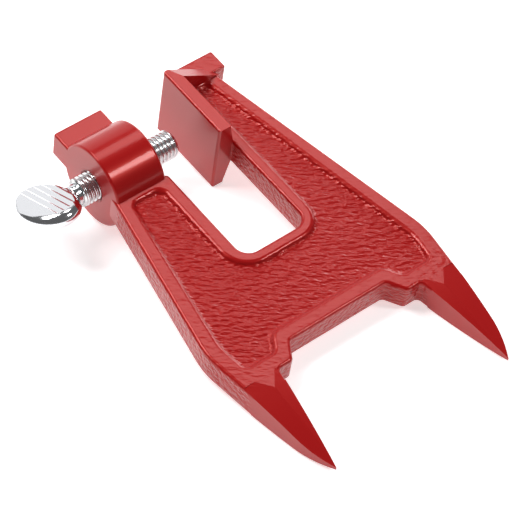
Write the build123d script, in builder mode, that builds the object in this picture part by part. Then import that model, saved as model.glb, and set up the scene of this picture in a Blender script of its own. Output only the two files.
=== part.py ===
"""Stump vise: a small cast clamp that holds a saw's guide bar while its chain is filed.

One iron casting carries everything. Its two spikes are driven into a stump, its two
legs reach past the bar on either side of a throat, and its two blocks take the hammer.
A thumb screw runs through the boss on one leg and presses the bar on the jaw of the
other. The screw is a threaded stud with a die-cast oval head on its outer end.

Frame, in millimetres: the origin is on the screw's axis, in the clamping face of the
fixed jaw. +X is the way the screw advances, +Y runs from the spikes to the hammer
blocks, and +Z is the normal of the plate, whose mid plane is Z = 0. The casting is
drawn in plate coordinates, where x = 0 is its centre line and y = 0 its shoulders.
"""

from build123d import *

import os
from math import atan2, cos, radians, sin, tan

os.makedirs("parts", exist_ok=True)

# Plate: outline of the casting, in plate coordinates.
plate_thickness = 10.0
shoulder_half_width = 45.0
top_half_width = 27.2
leg_end_y = 91.0
shoulder_radius = 30.0
edge_radius = 1.1
corner_radius = 1.8

# Throat between the legs, a little to the right of the centre line.
throat_left_x = -11.3
throat_right_x = 14.4
throat_floor_y = 22.9
throat_radius = 5.0
leg_join_y = 63.6

# Lower edge between the spikes: a shallow step down to each spike.
bridge_half_width = 19.5
bridge_y = -10.0
step_half_width = 23.4
step_y = -16.3

# Spikes.
spike_root_y = -20.5
spike_inner_x = 29.2
spike_outer_x = 40.0
spike_outer_y = -38.0
spike_tip_x = 35.2
spike_tip_y = -52.4
spike_tip_half_thickness = 0.6
spike_ridge_x = 34.6
spike_ridge_start_y = -21.0
spike_fall_angle = 3.5
spike_facet_angle = 4.5

# Recess in each face, with the raised rim left round it.
recess_depth = 1.4
recess_draft = 42.0
recess_floor_radius = 1.7
recess_brow_radius = 1.7
rim_shoulder = 5.4
rim_top = 4.4
rim_throat_left = 4.7
rim_throat_right = 3.7
rim_throat_floor = 3.7
rim_bridge = 4.9
recess_corner_radius = 3.4
recess_end_radius = 2.1
recess_left_end_y = 60.3

# Boss for the thumb screw on the left leg.
screw_y = 75.6
boss_radius = 14.65
boss_stand_out = 2.0
boss_inner_x = -12.9
boss_rim_radius = 1.0
boss_inset = 2.0
bore_chamfer = 0.8

# Hammer blocks at the ends of the legs.
block_near_y = 88.8
block_far_y = 96.8
left_block_inner_x = -13.5
right_block_inner_x = 17.0
right_block_outer_x = 32.8
block_radius = 0.8

# Fixed jaw: a tall wall on the right leg, with a sloping gusset at its far end.
jaw_face_x = 7.9
jaw_thickness = 4.6
jaw_half_height = 14.5
jaw_near_y = 61.7
jaw_far_y = 92.0
jaw_foot_x = 14.6
jaw_foot_length = 4.0
jaw_inset = 1.0
jaw_edge_radius = 0.9
end_wall_near_y = 87.0
gusset_toe_x = 28.6
gusset_run_angle = 28.0
gusset_slope = 35.0

# Thumb screw: M10 x 1.5, with a stud and an oval head.
thread_diameter = 10.0
thread_pitch = 1.5
thread_clearance = 0.05
tip_x = 0.3
tip_chamfer = 1.2
thread_stand_out = 5.2
spigot_radius = 2.0
spigot_length = 5.0
spigot_clearance = 0.02
seat_clearance = 0.05

# Oval head of the screw: a disc wider than it is long, set off the axis, and its neck.
neck_radius = 3.7
neck_length = 2.5
neck_taper_length = 7.0
neck_end_radius = 1.4
head_gap = 1.8
head_length = 20.6
head_width = 27.2
head_thickness = 5.5
head_edge_radius = 2.7
head_offset = 1.07
head_angle = -28.0

half_thickness = plate_thickness / 2
flank_slope = (shoulder_half_width - top_half_width) / leg_end_y
spike_slope = (shoulder_half_width - spike_outer_x) / -spike_outer_y
inner_slope = (spike_tip_x - spike_inner_x) / (step_y - spike_tip_y)
boss_outer_x = flank_slope * screw_y - shoulder_half_width - boss_stand_out
thread_end_x = boss_outer_x - thread_stand_out
plate_plane = Plane(origin=(-jaw_face_x, -screw_y, 0))


def flank_x(y):
    """Half width over the legs, at height y above the shoulders."""
    return shoulder_half_width - flank_slope * y


def spike_edge_x(y):
    """Half width over the straight part of the spikes' outer edges."""
    return shoulder_half_width + spike_slope * y


def spike_inner_edge_x(y):
    """Half of the gap between the spikes' inner edges."""
    return spike_inner_x + inner_slope * (step_y - y)


def between(shapes, low, high):
    """The shapes whose centres lie in a box given in the casting's plate coordinates."""
    picked = ShapeList()
    for shape in shapes:
        place = plate_plane.to_local_coords(shape.center())
        if all(a <= b <= c for a, b, c in zip(low, (place.X, place.Y, place.Z), high)):
            picked.append(shape)
    return picked


def rounded_outline(*corners):
    """Draw a closed outline from its corners, each given as x, y and its radius."""
    radii = [radius for _, _, radius in corners]
    FilletPolyline(*[(x, y) for x, y, _ in corners], radius=radii, close=True)


# %% Plate, down to the roots of the spikes
root_edge_x = spike_edge_x(spike_root_y)
root_inner_x = spike_inner_edge_x(spike_root_y)
with BuildPart() as plate:
    with BuildSketch(plate_plane.offset(-half_thickness)):
        with BuildLine():
            rounded_outline(
                (-bridge_half_width, bridge_y, corner_radius),
                (bridge_half_width, bridge_y, corner_radius),
                (step_half_width, step_y, corner_radius),
                (spike_inner_x, step_y, corner_radius),
                (root_inner_x, spike_root_y, 0),
                (root_edge_x, spike_root_y, 0),
                (shoulder_half_width, 0, shoulder_radius),
                (flank_x(leg_end_y), leg_end_y, 0),
                (jaw_face_x + jaw_inset, leg_end_y, 0),
                (jaw_face_x + jaw_inset, jaw_near_y + jaw_inset, 0),
                (throat_right_x, jaw_near_y + jaw_inset, corner_radius),
                (throat_right_x, throat_floor_y, throat_radius),
                (throat_left_x, throat_floor_y, throat_radius),
                (throat_left_x, leg_join_y, corner_radius),
                (boss_inner_x - boss_inset, leg_join_y, 0),
                (boss_inner_x - boss_inset, leg_end_y, 0),
                (-flank_x(leg_end_y), leg_end_y, 0),
                (-shoulder_half_width, 0, shoulder_radius),
                (-root_edge_x, spike_root_y, 0),
                (-root_inner_x, spike_root_y, 0),
                (-spike_inner_x, step_y, corner_radius),
                (-step_half_width, step_y, corner_radius),
            )
        make_face()
    extrude(amount=plate_thickness)
    rim_faces = plate.faces().filter_by(Axis.Z)
    root_edges = between(
        rim_faces.edges(),
        (-shoulder_half_width, spike_root_y - edge_radius, -plate_thickness),
        (shoulder_half_width, spike_root_y + edge_radius, plate_thickness),
    )
    fillet(rim_faces.edges() - root_edges, edge_radius)

# %% Recess in a face, as the solid that is taken out of it
recess_low_y = step_y + rim_bridge
recess_edge_x = spike_edge_x(recess_low_y) - rim_shoulder
bridge_turn = atan2(bridge_y - step_y, step_half_width - bridge_half_width)
recess_shift = rim_bridge * tan(bridge_turn / 2)
recess_shoulder_x = shoulder_half_width - rim_shoulder
recess_top_x = flank_x(end_wall_near_y) - rim_top
recess_side_slope = (recess_shoulder_x - recess_top_x) / end_wall_near_y
recess_left_top_x = recess_shoulder_x - recess_side_slope * recess_left_end_y
recess_floor_y = throat_floor_y - rim_throat_floor
with BuildPart() as recess:
    with BuildSketch(plate_plane.offset(half_thickness)):
        with BuildLine():
            rounded_outline(
                (-bridge_half_width - recess_shift, bridge_y + rim_bridge, recess_corner_radius),
                (bridge_half_width + recess_shift, bridge_y + rim_bridge, recess_corner_radius),
                (step_half_width + recess_shift, recess_low_y, recess_corner_radius),
                (recess_edge_x, recess_low_y, recess_corner_radius),
                (recess_shoulder_x, 0, shoulder_radius - rim_shoulder),
                (recess_top_x, end_wall_near_y, recess_end_radius),
                (throat_right_x + rim_throat_right, end_wall_near_y, recess_end_radius),
                (throat_right_x + rim_throat_right, recess_floor_y, throat_radius + rim_throat_right),
                (throat_left_x - rim_throat_left, recess_floor_y, throat_radius + rim_throat_left),
                (throat_left_x - rim_throat_left, recess_left_end_y, recess_corner_radius),
                (-recess_left_top_x, recess_left_end_y, recess_corner_radius),
                (-recess_shoulder_x, 0, shoulder_radius - rim_shoulder),
                (-recess_edge_x, recess_low_y, recess_corner_radius),
                (-step_half_width - recess_shift, recess_low_y, recess_corner_radius),
            )
        make_face()
    extrude(amount=-recess_depth, taper=recess_draft)
    fillet(recess.faces().sort_by(Axis.Z)[0].edges(), recess_floor_radius)

# %% Right spike, on the plate's own thickness
fall_reach = spike_ridge_start_y + half_thickness
spike_side_plane = Plane(
    origin=plate_plane.from_local_coords((spike_ridge_x, 0, 0)),
    x_dir=(0, 1, 0),
    z_dir=(1, 0, 0),
)
with BuildPart() as spike:
    with BuildSketch(plate_plane.offset(-half_thickness)):
        with BuildLine():
            root = Line(
                (spike_edge_x(spike_root_y), spike_root_y),
                (spike_inner_edge_x(spike_root_y), spike_root_y),
            )
            Line(root @ 1, (spike_tip_x, spike_tip_y))
            outer = Line(root @ 0, (spike_outer_x, spike_outer_y))
            TangentArc(outer @ 1, (spike_tip_x, spike_tip_y), tangent=outer % 1)
        make_face()
    extrude(amount=plate_thickness)

# The falling top of a spike: what it takes off lies above a ridge that curves down to the tip.
with BuildPart() as spike_fall:
    with BuildSketch(spike_side_plane) as fall_side:
        with BuildLine():
            fall = Line(
                (fall_reach, half_thickness + half_thickness * tan(radians(spike_fall_angle))),
                (spike_ridge_start_y, half_thickness),
            )
            bend = TangentArc(
                fall @ 1, (spike_tip_y, spike_tip_half_thickness), tangent=fall % 1
            )
            Polyline(
                bend @ 1,
                (spike_tip_y - half_thickness, spike_tip_half_thickness),
                (spike_tip_y - half_thickness, plate_thickness),
                (fall_reach, plate_thickness),
                fall @ 0,
            )
        make_face()
    facet_fall = sin(radians(spike_facet_angle))
    facet_run = cos(radians(spike_facet_angle))
    extrude(amount=plate_thickness, dir=(facet_run, 0, -facet_fall))
    extrude(fall_side.sketch, amount=plate_thickness, dir=(-facet_run, 0, -facet_fall))

# %% Boss, with the hammer block of its leg
outer_face_plane = Plane.YZ.offset(boss_outer_x - jaw_face_x)
block_middle_y = (block_near_y + block_far_y) / 2 - screw_y
block_length = block_far_y - block_near_y
with BuildPart() as boss:
    with BuildSketch(outer_face_plane):
        Circle(boss_radius)
    extrude(amount=boss_inner_x - boss_outer_x)
    fillet(boss.faces().sort_by(Axis.X)[-1].edges(), boss_rim_radius)
    with BuildSketch(outer_face_plane):
        with Locations((block_middle_y, 0)):
            Rectangle(block_length, plate_thickness)
    extrude(amount=left_block_inner_x - boss_outer_x)
    block_edges = boss.faces().sort_by(Axis.X)[0].edges() + boss.faces().sort_by(Axis.Y)[-1].edges()
    fillet(set(block_edges), block_radius)

# %% Hammer block of the other leg
right_block_width = right_block_outer_x - right_block_inner_x
with BuildPart() as block:
    with BuildSketch(plate_plane.offset(-half_thickness)):
        with Locations((right_block_inner_x + right_block_width / 2, block_middle_y + screw_y)):
            Rectangle(right_block_width, block_length)
    extrude(amount=plate_thickness)
    fillet(block.edges(), block_radius)

# %% Fixed jaw
jaw_back_x = jaw_face_x + jaw_thickness
jaw_middle_x = jaw_face_x + jaw_thickness / 2
jaw_near_plane = Plane(
    origin=plate_plane.from_local_coords((0, jaw_near_y, 0)), x_dir=(1, 0, 0), z_dir=(0, 1, 0)
)
run = radians(gusset_run_angle)
slope = radians(gusset_slope)
gusset_normal = Vector(sin(slope) * cos(run), sin(slope) * sin(run), cos(slope))
gusset_start = plate_plane.from_local_coords((jaw_back_x, end_wall_near_y, jaw_half_height))
gusset_plane = Plane(origin=gusset_start, z_dir=gusset_normal)
with BuildPart() as jaw:
    with BuildSketch(plate_plane.offset(-jaw_half_height)):
        with BuildLine():
            Polyline(
                (jaw_face_x, jaw_near_y),
                (jaw_back_x, jaw_near_y),
                (jaw_back_x, end_wall_near_y),
                (gusset_toe_x, end_wall_near_y),
                (gusset_toe_x, jaw_far_y),
                (jaw_face_x, jaw_far_y),
                close=True,
            )
        make_face()
    extrude(amount=2 * jaw_half_height)
    split(bisect_by=gusset_plane, keep=Keep.BOTTOM)
    mirror(about=Plane.XY, mode=Mode.INTERSECT)
    fillet(jaw.faces().sort_by(Axis.X)[0].edges(), jaw_edge_radius)
    foot_height = jaw_half_height - jaw_edge_radius
    with BuildSketch(jaw_near_plane):
        with BuildLine():
            Polyline(
                (jaw_middle_x, foot_height),
                (jaw_back_x, foot_height),
                (jaw_foot_x, half_thickness),
                (jaw_foot_x, -half_thickness),
                (jaw_back_x, -foot_height),
                (jaw_middle_x, -foot_height),
                close=True,
            )
        make_face()
    extrude(amount=jaw_foot_length)

# %% Casting
bore_radius = thread_diameter / 2 + thread_clearance
mirror_plane = Plane(origin=plate_plane.origin, z_dir=(1, 0, 0))
with BuildPart() as casting:
    add(plate.part)
    add(recess.part, mode=Mode.SUBTRACT)
    mirror(recess.part, about=Plane.XY, mode=Mode.SUBTRACT)
    brows = casting.faces().filter_by(Axis.Z).filter_by(lambda face: face.inner_wires())
    brow_wires = [wire for face in brows for wire in face.inner_wires()]
    fillet([edge for wire in brow_wires for edge in wire.edges()], recess_brow_radius)
    add(spike.part)
    add(spike_fall.part, mode=Mode.SUBTRACT)
    mirror(spike_fall.part, about=Plane.XY, mode=Mode.SUBTRACT)
    mirror(spike.part, about=mirror_plane)
    left_fall = mirror(spike_fall.part, about=mirror_plane, mode=Mode.SUBTRACT)
    mirror(left_fall, about=Plane.XY, mode=Mode.SUBTRACT)
    add(boss.part)
    add(block.part)
    add(jaw.part)
    with BuildSketch(Plane.XZ):
        with BuildLine():
            Polyline(
                (boss_outer_x - jaw_face_x, 0),
                (boss_outer_x - jaw_face_x, bore_radius + bore_chamfer),
                (boss_outer_x - jaw_face_x + bore_chamfer, bore_radius),
                (boss_inner_x - jaw_face_x - bore_chamfer, bore_radius),
                (boss_inner_x - jaw_face_x, bore_radius + bore_chamfer),
                (boss_inner_x - jaw_face_x, 0),
                close=True,
            )
        make_face()
    revolve(axis=Axis.X, mode=Mode.SUBTRACT)

# %% Threaded stud of the thumb screw, with the spigot that its head is cast on
spigot_end_x = thread_end_x - spigot_length
with BuildPart() as stud:
    with BuildSketch(Plane.XZ):
        with BuildLine():
            Polyline(
                (tip_x - jaw_face_x, 0),
                (tip_x - jaw_face_x, thread_diameter / 2 - tip_chamfer),
                (tip_x - jaw_face_x - tip_chamfer, thread_diameter / 2),
                (thread_end_x - jaw_face_x, thread_diameter / 2),
                (thread_end_x - jaw_face_x, spigot_radius),
                (spigot_end_x - jaw_face_x, spigot_radius),
                (spigot_end_x - jaw_face_x, 0),
                close=True,
            )
        make_face()
    revolve(axis=Axis.X)

# %% Oval head
neck_start_x = thread_end_x - seat_clearance - jaw_face_x
head_middle_x = neck_start_x - head_gap - head_length / 2
neck_end_x = neck_start_x - neck_length - neck_taper_length
turn = radians(head_angle)
head_plane = Plane(
    origin=(head_middle_x, 0, 0), x_dir=(1, 0, 0), z_dir=(0, -sin(turn), cos(turn))
).offset(head_offset)
with BuildPart() as head:
    with BuildSketch(head_plane.offset(-head_thickness / 2)):
        Ellipse(head_length / 2, head_width / 2)
    extrude(amount=head_thickness)
    fillet(head.edges(), head_edge_radius)
    with BuildSketch(Plane.XZ):
        with BuildLine():
            Polyline(
                (neck_start_x, 0),
                (neck_start_x, neck_radius),
                (neck_start_x - neck_length, neck_radius),
                (neck_end_x, neck_end_radius),
                (neck_end_x, 0),
                close=True,
            )
        make_face()
    revolve(axis=Axis.X)
    with BuildSketch(Plane.YZ.offset(neck_start_x)):
        Circle(spigot_radius + spigot_clearance)
    extrude(amount=-spigot_length, mode=Mode.SUBTRACT)

for name, piece in (("vise_casting", casting), ("threaded_stud", stud), ("thumb_head", head)):
    piece.part.label = name
    export_step(piece.part, f"parts/{name}.step")
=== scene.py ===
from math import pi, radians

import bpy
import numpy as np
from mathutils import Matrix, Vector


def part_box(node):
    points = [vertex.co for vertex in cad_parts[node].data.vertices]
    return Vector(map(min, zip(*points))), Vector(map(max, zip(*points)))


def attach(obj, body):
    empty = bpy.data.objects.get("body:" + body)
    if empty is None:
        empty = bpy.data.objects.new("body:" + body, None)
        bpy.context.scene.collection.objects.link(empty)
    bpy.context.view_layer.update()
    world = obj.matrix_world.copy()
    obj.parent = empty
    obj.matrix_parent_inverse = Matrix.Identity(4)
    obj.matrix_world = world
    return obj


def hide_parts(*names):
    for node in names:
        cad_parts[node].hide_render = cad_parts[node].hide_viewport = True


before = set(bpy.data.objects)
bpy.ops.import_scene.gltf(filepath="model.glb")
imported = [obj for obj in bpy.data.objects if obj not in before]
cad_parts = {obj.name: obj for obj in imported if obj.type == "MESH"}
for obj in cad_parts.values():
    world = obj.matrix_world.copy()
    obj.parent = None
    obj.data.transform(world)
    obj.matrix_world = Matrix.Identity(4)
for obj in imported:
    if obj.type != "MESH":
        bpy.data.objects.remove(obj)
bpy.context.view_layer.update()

# %% [markdown]
# # A stump vise: one casting and one thumb screw
#
# The vise holds a saw's guide bar while its chain is filed. It is a single iron casting
# under glossy red paint, with a plated thumb screw through one of its legs. The CAD model
# already gives the casting its true shape, so it stays as it is and gets a paint worth
# looking at. The two parts of the screw are only stand-ins there, so both are made again:
# the thread as a real helix, and the oval head as one form that swells out of its neck.

millimetre = 0.001
for node_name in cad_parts:
    low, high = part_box(node_name)
    print(f"{node_name}: {[round((b - a) / millimetre, 1) for a, b in zip(low, high)]} mm")

# %% [markdown]
# ## A surface from two numbers
#
# Both new pieces run along the screw and are closed round it. Such a form can be a curve
# with a bevel, a lathed profile, or a grid of points. The grid was chosen, because a
# thread and a ribbed face are both formulas in the same two numbers: how far along the
# axis, and how far round it.

# %% A closed tube from rings of points
def smooth_step(low, high, value):
    """0 below low and 1 above high, with 3 t squared - 2 t cubed between them."""
    t = np.clip((value - low) / (high - low), 0, 1)
    return t * t * (3 - 2 * t)


def tube_piece(name, rings):
    """Skin an array of rings, shaped (rings, points round, 3), and close both ends.

    Point j of ring i joins point j of ring i + 1, and the last point of a ring joins its
    first. Each end is a fan to the middle of its ring. The rings run against the X axis
    and turn from +Y to +Z, so the faces look outward.
    """
    count, around, _ = rings.shape
    points = np.concatenate([rings.reshape(-1, 3), [rings[0].mean(axis=0)], [rings[-1].mean(axis=0)]])
    index = np.arange(count * around).reshape(count, around)
    turned = np.roll(index, -1, axis=1)
    quads = np.stack([index[:-1], index[1:], turned[1:], turned[:-1]], axis=-1).reshape(-1, 4)
    near_fan = np.stack([np.full(around, count * around), index[0], turned[0]], axis=-1)
    far_fan = np.stack([np.full(around, count * around + 1), turned[-1], index[-1]], axis=-1)
    mesh = bpy.data.meshes.new(name)
    mesh.from_pydata(points.tolist(), [], quads.tolist() + near_fan.tolist() + far_fan.tolist())
    mesh.shade_smooth()
    piece = bpy.data.objects.new(name, mesh)
    bpy.context.collection.objects.link(piece)
    print(f"{name}: {len(points)} points and {len(mesh.polygons)} faces")
    return piece


# %% [markdown]
# ## The thread
#
# The shank is taken as an M10 thread, so its pitch is 1.5 mm. A Screw modifier also
# makes one, but its ends are hard to chamfer. Here the radius is a formula: a rounded
# zigzag that moves on by one pitch for each turn. The chamfer is then simply the smaller
# of that radius and a cone's, and the groove fades out where the thread meets the head.

# %% The stud's thread
stud_low, stud_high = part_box("threaded_stud")
thread_radius = (stud_high.y - stud_low.y) / 2
thread_pitch = 1.5 * millimetre
thread_depth = 0.92 * millimetre
crest_share = 0.22
root_share = 0.2
tip_flat_radius = 3.8 * millimetre
spigot_length = 5.0 * millimetre
run_out = 1.0 * millimetre
rings_to_a_pitch = 16
points_round_thread = 80


def groove_depth(turn):
    """Depth of the groove from 0 on the crest to 1 in the root, at a share of a turn.

    The share's distance from the nearest crest runs from 0 to a half. The crest and the
    root are flat for their own part of it, and the flank between them is straight.
    """
    distance = np.abs(turn - np.round(turn))
    return np.clip((distance - crest_share / 2) / (0.5 - (crest_share + root_share) / 2), 0, 1)


def thread_rings():
    """Rings of the thread, from its tip to its seat on the head.

    The radius at x and angle a is the thread's outer radius less the groove's depth,
    read at x / pitch - a / (2 pi), and no more than the chamfer's cone.
    """
    seat_x = stud_low.x + spigot_length
    tip_x = stud_high.x
    count = int((tip_x - seat_x) / thread_pitch * rings_to_a_pitch)
    x = np.linspace(tip_x, seat_x, count)[:, None]
    angle = np.linspace(0, 2 * pi, points_round_thread, endpoint=False)[None, :]
    groove = thread_depth * groove_depth(x / thread_pitch - angle / (2 * pi))
    groove = groove * smooth_step(0, run_out, x - seat_x)
    radius = np.minimum(thread_radius - groove, tip_flat_radius + tip_x - x)
    return np.stack([x + 0 * angle, radius * np.cos(angle), radius * np.sin(angle)], axis=-1)


stud_thread = tube_piece("stud_thread", thread_rings())
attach(stud_thread, "stud")
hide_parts("threaded_stud")

# %% [markdown]
# ## The oval head
#
# The head is die cast onto the stud: a round neck that flattens and widens into an oval
# disc, with a full round edge and shallow ribs for the fingers. It could be a disc and a
# cylinder joined with a bevel, but cutting it in slices across the axis gives a softer
# blend. Each slice has a half width and a height over it. The height falls off near the
# outline as a round edge does, and the larger of disc and neck is taken, rounded off.

# %% The head's shape
head_low, head_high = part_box("thumb_head")
head_total = head_high.x - head_low.x
oval_half_length = 10.3 * millimetre
oval_half_width = 13.6 * millimetre
oval_half_thickness = 2.75 * millimetre
oval_raise = 1.07 * millimetre
oval_edge = 2.9 * millimetre
oval_middle = head_total - oval_half_length
oval_turn = radians(-28.0)
neck_radius = 3.7 * millimetre
neck_fade = 2.0 * millimetre
neck_end = 9.5 * millimetre
disc_start = 1.8 * millimetre
disc_full = 4.5 * millimetre
outline_blend = 5.0 * millimetre
height_blend = 1.5 * millimetre
rib_pitch = 2.45 * millimetre
rib_depth = 0.25 * millimetre
rib_first = 4.2 * millimetre
rib_last = 14.0 * millimetre
rib_sharpness = 2
rib_edge_start = 0.5
rib_edge_full = 1.2
neck_bluntness = 0.25
head_rings = 420
points_across_head = 90
ring_crowding = 1.5
tiny = 1e-9


def larger(a, b, reach):
    """The larger of a and b, rounded off where they come within reach of each other."""
    near = np.maximum(reach - np.abs(a - b), 0) / reach
    return np.maximum(a, b) + near**3 * reach / 6


def round_edge(depth):
    """Height of a quarter circle, as a share of its radius, at a depth inside its edge."""
    return np.sqrt(1 - (1 - np.clip(depth, 0, 1)) ** 2)


def head_points(u, across):
    """Points of the head at distances u from its seat and angles across its slices.

    The outline's half width is the larger of the oval's and the neck's, and w is that
    half width times the cosine of the angle. A point's depth inside the outline is
    (half width squared - w squared) over twice the length of that figure's gradient.
    The disc's height is a round edge in that depth, less the ribs, which are the fourth
    power of a raised cosine in u. The disc is raised off the axis, and the neck is not.
    """
    oval = oval_half_width * np.sqrt(np.clip(1 - ((u - oval_middle) / oval_half_length) ** 2, 0, 1))
    shrink = 1 - smooth_step(neck_fade, neck_end, u)
    raised = oval_raise * smooth_step(disc_start, disc_full, u)
    half = np.where(u > oval_middle, oval, larger(oval, neck_radius * shrink**neck_bluntness, outline_blend))
    slope = np.gradient(half**2, u[:, 0], axis=0) / 2
    w = half * np.cos(across)
    depth = (half**2 - w**2) / (2 * np.sqrt(w**2 + slope**2) + tiny)
    inside = round_edge(depth / oval_edge)
    side = np.where(across < pi, 1.0, -1.0)
    side = np.where(np.abs(np.sin(across)) < tiny, 0.0, side)
    ribs = (0.5 + 0.5 * np.cos(2 * pi * (u - rib_first) / rib_pitch)) ** rib_sharpness
    ribs = ribs * (u > rib_first - rib_pitch / 2) * (u < rib_last + rib_pitch / 2)
    ribs = ribs * smooth_step(rib_edge_start * oval_edge, rib_edge_full * oval_edge, depth)
    disc = oval_half_thickness * inside + side * raised - rib_depth * ribs
    room = (neck_radius * shrink) ** 2 - w**2
    neck = np.sign(room) * np.sqrt(np.abs(room))
    height = side * larger(disc, neck, height_blend * inside + tiny)
    height = np.where(side == 0, raised, height)
    y = w * np.cos(oval_turn) - height * np.sin(oval_turn)
    z = w * np.sin(oval_turn) + height * np.cos(oval_turn)
    return np.stack([head_high.x - u + 0 * w, y, z], axis=-1)


# Rings are closer together at the far end, where the oval closes.
even = np.linspace(0, 1, head_rings)[:, None]
ring_places = head_total * (1 - (1 - even) ** ring_crowding)
across_angles = np.linspace(0, 2 * pi, 2 * points_across_head, endpoint=False)[None, :]
oval_head = tube_piece("oval_head", head_points(ring_places, across_angles))
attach(oval_head, "head")
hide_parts("thumb_head")

# %% [markdown]
# ## Materials
# Every finish here is made from noise read in the object's own coordinates, in metres, so a
# ripple keeps its size in millimetres. Each cell below makes one finish. Two helpers keep
# the cells short: one starts a material, the other adds a node and fills its sockets.

# %% Helpers for node trees
def new_material(name):
    """A material with nodes, and its principled shader."""
    material = bpy.data.materials.new(name)
    material.use_nodes = True
    shader = material.node_tree.nodes["Principled BSDF"]
    return material, material.node_tree, shader


def add_node(tree, kind, **inputs):
    """Add a node, and set its sockets by name, with underscores for spaces."""
    node = tree.nodes.new(kind)
    for name, value in inputs.items():
        node.inputs[name.replace("_", " ")].default_value = value
    return node


print("helpers for materials are ready")

# %% [markdown]
# ## Shared group: an uneven surface
# Cast iron under paint, rolled zinc and a polished casting are all uneven at two sizes: a
# slow wave and a finer grain on top. One group gives that height, and each finish
# sets the two sizes and how much of the finer one shows. It is a group because all three
# finishes use it, and only a height leaves it.

# %% Shared group: uneven surface
coarse_detail = 1.0
fine_detail = 2.0


def uneven_group():
    """A group that gives a height for Bump from two sizes of noise at the points it is given."""
    group = bpy.data.node_groups.new("uneven_surface", "ShaderNodeTree")
    group.interface.new_socket("Place", in_out="INPUT", socket_type="NodeSocketVector")
    for name in ("Coarse Size", "Fine Size", "Fine Share"):
        group.interface.new_socket(name, in_out="INPUT", socket_type="NodeSocketFloat")
    group.interface.new_socket("Height", in_out="OUTPUT", socket_type="NodeSocketFloat")
    start = group.nodes.new("NodeGroupInput")
    end = group.nodes.new("NodeGroupOutput")
    coarse = add_node(group, "ShaderNodeTexNoise", Detail=coarse_detail)
    fine = add_node(group, "ShaderNodeTexNoise", Detail=fine_detail)
    blend = group.nodes.new("ShaderNodeMix")
    link = group.links.new
    link(start.outputs["Place"], coarse.inputs["Vector"])
    link(start.outputs["Place"], fine.inputs["Vector"])
    link(start.outputs["Coarse Size"], coarse.inputs["Scale"])
    link(start.outputs["Fine Size"], fine.inputs["Scale"])
    link(start.outputs["Fine Share"], blend.inputs["Factor"])
    link(coarse.outputs["Fac"], blend.inputs["A"])
    link(fine.outputs["Fac"], blend.inputs["B"])
    link(blend.outputs["Result"], end.inputs["Height"])
    return group


uneven = uneven_group()


def add_uneven(tree, place, coarse_per_metre, fine_per_metre, fine_share):
    """Add the uneven group to a material, with its noises counted per metre."""
    node = tree.nodes.new("ShaderNodeGroup")
    node.node_tree = uneven
    tree.links.new(place, node.inputs["Place"])
    node.inputs["Coarse Size"].default_value = coarse_per_metre
    node.inputs["Fine Size"].default_value = fine_per_metre
    node.inputs["Fine Share"].default_value = fine_share
    return node


print("group", uneven.name, "has", len(uneven.nodes), "nodes")

# %% [markdown]
# ## Red paint
# The casting is dipped or sprayed in thick gloss enamel straight over the sand-cast skin.
# On the open web the enamel follows the sand's ripples, and on the rims it has run
# smooth. So one mask, read from the height above the plate's mid plane, turns the bump up
# on the web and down on the rims, and two more leave the spikes, jaw and boss smooth. The
# enamel is translucent, so most of its shine is tinted red, under a thin clear coat.

# %% Red paint over a rough casting
paint_colour = (0.37, 0.005, 0.006, 1)
paint_tint = (1.0, 0.16, 0.13, 1)
web_level = 3.8 * millimetre
rim_level = 4.7 * millimetre
spike_level = -96.0 * millimetre
plate_level = -91.0 * millimetre
jaw_start_y = -14.0 * millimetre
web_end_y = -15.0 * millimetre
jaw_side_x = 6.7 * millimetre
strip_x = 7.4 * millimetre
ripple_turn = -38.7
ripple_stretch = 2.4
ripples_per_metre = 780.0
grains_per_metre = 1900.0
grain_share = 0.15
rim_ripple = 0.16
web_ripple = 1.0
ripple_height = 0.85 * millimetre
paint, tree, shader = new_material("red_paint_rough")
link = tree.links.new
shader.inputs["Base Color"].default_value = paint_colour
shader.inputs["Roughness"].default_value = 0.3
shader.inputs["Specular IOR Level"].default_value = 0.9
shader.inputs["Specular Tint"].default_value = paint_tint
shader.inputs["Coat Weight"].default_value = 0.3
shader.inputs["Coat Roughness"].default_value = 0.09
place = tree.nodes.new("ShaderNodeTexCoord")
grain = tree.nodes.new("ShaderNodeMapping")
grain.vector_type = "TEXTURE"
grain.inputs["Rotation"].default_value = (0.0, 0.0, radians(ripple_turn))
grain.inputs["Scale"].default_value = (ripple_stretch, 1.0, 1.0)
parts = tree.nodes.new("ShaderNodeSeparateXYZ")
level = tree.nodes.new("ShaderNodeMath")
level.operation = "ABSOLUTE"
web = add_node(tree, "ShaderNodeMapRange", From_Min=rim_level, From_Max=web_level)
web.inputs["To Min"].default_value = rim_ripple
web.inputs["To Max"].default_value = web_ripple
plate = add_node(tree, "ShaderNodeMapRange", From_Min=spike_level, From_Max=plate_level)
below_jaw = add_node(tree, "ShaderNodeMapRange", From_Min=jaw_start_y, From_Max=web_end_y)
beside_jaw = add_node(tree, "ShaderNodeMapRange", From_Min=jaw_side_x, From_Max=strip_x)
off_jaw = tree.nodes.new("ShaderNodeMath")
off_jaw.operation = "MAXIMUM"
plate_only = tree.nodes.new("ShaderNodeMath")
plate_only.operation = "MULTIPLY"
rough = tree.nodes.new("ShaderNodeMath")
rough.operation = "MULTIPLY"
link(place.outputs["Object"], grain.inputs["Vector"])
peel = add_uneven(tree, grain.outputs["Vector"], ripples_per_metre, grains_per_metre, grain_share)
bump = add_node(tree, "ShaderNodeBump", Distance=ripple_height)
link(place.outputs["Object"], parts.inputs["Vector"])
link(parts.outputs["Z"], level.inputs[0])
link(level.outputs["Value"], web.inputs["Value"])
link(parts.outputs["Y"], plate.inputs["Value"])
link(web.outputs["Result"], rough.inputs[0])
link(parts.outputs["Y"], below_jaw.inputs["Value"])
link(parts.outputs["X"], beside_jaw.inputs["Value"])
link(below_jaw.outputs["Result"], off_jaw.inputs[0])
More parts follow.
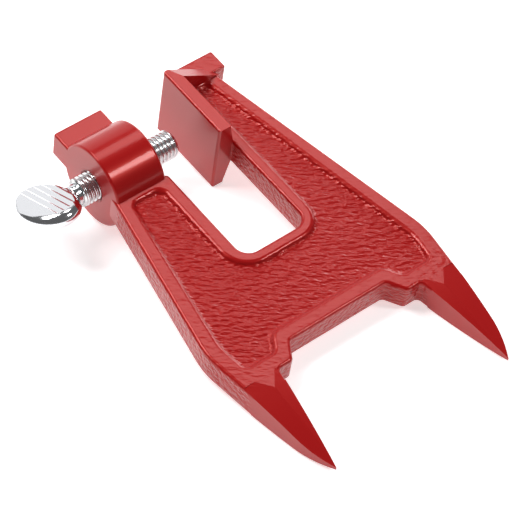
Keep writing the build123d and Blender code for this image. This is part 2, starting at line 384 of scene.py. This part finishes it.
link(beside_jaw.outputs["Result"], off_jaw.inputs[1])
link(plate.outputs["Result"], plate_only.inputs[0])
link(off_jaw.outputs["Value"], plate_only.inputs[1])
link(plate_only.outputs["Value"], rough.inputs[1])
link(rough.outputs["Value"], bump.inputs["Strength"])
link(peel.outputs["Height"], bump.inputs["Height"])
link(bump.outputs["Normal"], shader.inputs["Normal"])
link(bump.outputs["Normal"], shader.inputs["Coat Normal"])
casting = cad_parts["vise_casting"]
casting.data.materials.clear()
casting.data.materials.append(paint)
print(paint.name, "bumps its web below", web_level, "m")

# %% [markdown]
# ## Bright zinc
# The stud is bought-in threaded rod, electroplated with zinc and passivated clear. Zinc is a
# pale metal with a fine, slightly rough grain, so the highlights along the crests are
# soft. The grain is far finer than the thread, and only the bump carries it.

# %% Zinc on the thread
zinc_colour = (0.72, 0.73, 0.74, 1)
zinc_grain_height = 0.05 * millimetre
zinc, tree, shader = new_material("bright_zinc")
link = tree.links.new
shader.inputs["Base Color"].default_value = zinc_colour
shader.inputs["Metallic"].default_value = 1.0
shader.inputs["Roughness"].default_value = 0.24
place = tree.nodes.new("ShaderNodeTexCoord")
grain = add_uneven(tree, place.outputs["Object"], 900.0, 5000.0, 0.6)
bump = add_node(tree, "ShaderNodeBump", Distance=zinc_grain_height, Strength=0.5)
link(grain.outputs["Height"], bump.inputs["Height"])
link(bump.outputs["Normal"], shader.inputs["Normal"])
stud_thread.data.materials.append(zinc)
print(zinc.name, "is on", stud_thread.name)

# %% [markdown]
# ## Chrome plate
# The head is a die casting, tumbled smooth and then plated. Tumbling leaves slow waves
# that bend its reflections, so it has a long, shallow wave and hardly any grain.

# %% Polished chrome on the head
chrome_colour = (0.82, 0.83, 0.86, 1)
chrome_wave_height = 0.25 * millimetre
chrome, tree, shader = new_material("chrome_plate")
link = tree.links.new
shader.inputs["Base Color"].default_value = chrome_colour
shader.inputs["Metallic"].default_value = 1.0
shader.inputs["Roughness"].default_value = 0.13
place = tree.nodes.new("ShaderNodeTexCoord")
wave = add_uneven(tree, place.outputs["Object"], 160.0, 900.0, 0.15)
bump = add_node(tree, "ShaderNodeBump", Distance=chrome_wave_height, Strength=0.5)
link(wave.outputs["Height"], bump.inputs["Height"])
link(bump.outputs["Normal"], shader.inputs["Normal"])
oval_head.data.materials.append(chrome)
print(chrome.name, "is on", oval_head.name)

# %% [markdown]
# ## Floor
# The vise rests on the lower edge of its jaw, its boss and a spike, so the table's plane is
# tilted a little in the vise's frame. The table is a lit white card: it shines
# faintly itself, which keeps the background white and the shadow soft.

# %% Floor
floor_reach = 1.5
jaw_low_y = -13.0 * millimetre
jaw_low_z = -14.56 * millimetre
floor_fall = 0.110
card_colour = (0.85, 0.85, 0.85, 1)
card_glow = 0.6
corner_x = np.array([-floor_reach, floor_reach, floor_reach, -floor_reach])
corner_y = np.array([-floor_reach, -floor_reach, floor_reach, floor_reach])
corner_z = jaw_low_z - floor_fall * (corner_y - jaw_low_y)
floor_points = np.stack([corner_x, corner_y, corner_z], axis=-1)
floor_mesh = bpy.data.meshes.new("floor")
floor_mesh.from_pydata(floor_points.tolist(), [], [(0, 1, 2, 3)])
floor = bpy.data.objects.new("floor", floor_mesh)
bpy.context.collection.objects.link(floor)
card, tree, shader = new_material("pale_card")
shader.inputs["Base Color"].default_value = card_colour
shader.inputs["Roughness"].default_value = 0.9
shader.inputs["Emission Color"].default_value = (1.0, 1.0, 1.0, 1)
shader.inputs["Emission Strength"].default_value = card_glow
floor_mesh.materials.append(card)
print("floor is", 2 * floor_reach, "m square")

# %% [markdown]
# ## Light
# Gloss enamel and chrome show the shape of every light. A broad white card stands behind
# the vise and a second at its right, for the bright bands along the boss and the head. A
# small card above the right leg gives the flat faces their sheen, a key box behind lights
# the crests of the ripples, and boxes at the left and the near right catch the edges.

# %% Light
world_strength = 0.12
world = bpy.data.worlds.new("studio")
world.use_nodes = True
world.node_tree.nodes["Background"].inputs["Color"].default_value = (1.0, 1.0, 1.0, 1)
world.node_tree.nodes["Background"].inputs["Strength"].default_value = world_strength
bpy.context.scene.world = world
bpy.context.scene.view_settings.view_transform = "Standard"
light_target = Vector((-0.02, -0.05, 0))


def softbox(name, place, width, height, watts):
    """A rectangular area light at a place in metres, facing the vise."""
    lamp = bpy.data.lights.new(name, "AREA")
    lamp.shape = "RECTANGLE"
    lamp.size = width
    lamp.size_y = height
    lamp.energy = watts
    holder = bpy.data.objects.new(name, lamp)
    away = Vector(place) - light_target
    holder.matrix_world = Matrix.Translation(place) @ away.to_track_quat("Z", "Y").to_matrix().to_4x4()
    holder.visible_camera = False
    bpy.context.collection.objects.link(holder)
    print(name, watts, "W at", place)


softbox("back_card", (0.5, 1.5, 0.4), 3.0, 1.1, 9.0)
softbox("right_card", (1.5, 0.6, 0.25), 1.0, 0.4, 7.0)
softbox("sheen_card", (0.48, 0.45, 0.88), 0.36, 0.36, 1.6)
softbox("key_box", (-0.2, 0.65, 0.95), 0.6, 0.5, 7.0)
softbox("left_box", (-0.6, 0.5, 0.95), 0.2, 0.3, 3.6)
softbox("near_box", (0.5, -0.56, 0.88), 0.2, 0.3, 3.6)

# %% [markdown]
# ## Camera
# The camera looks down from beyond the left spike with a long lens, so the plate's sides
# stay nearly parallel. Its place and its three directions are given in the vise's frame.

# %% Camera
lens_length = 180.0
sensor_width = 36.0
camera_place = Vector((-378.1, -395.6, 656.8)) * millimetre
camera_right = Vector((0.7764, -0.6209, 0.1081))
camera_up = Vector((0.4493, 0.6656, 0.5959))
camera_back = camera_right.cross(camera_up)
camera_data = bpy.data.cameras.new("camera")
camera_data.lens = lens_length
camera_data.sensor_width = sensor_width
camera = bpy.data.objects.new("camera", camera_data)
camera_turn = Matrix((camera_right, camera_up, camera_back)).transposed()
camera.matrix_world = Matrix.Translation(camera_place) @ camera_turn.to_4x4()
bpy.context.collection.objects.link(camera)
bpy.context.scene.camera = camera
print("camera is", round(camera_place.length, 3), "m from the screw")
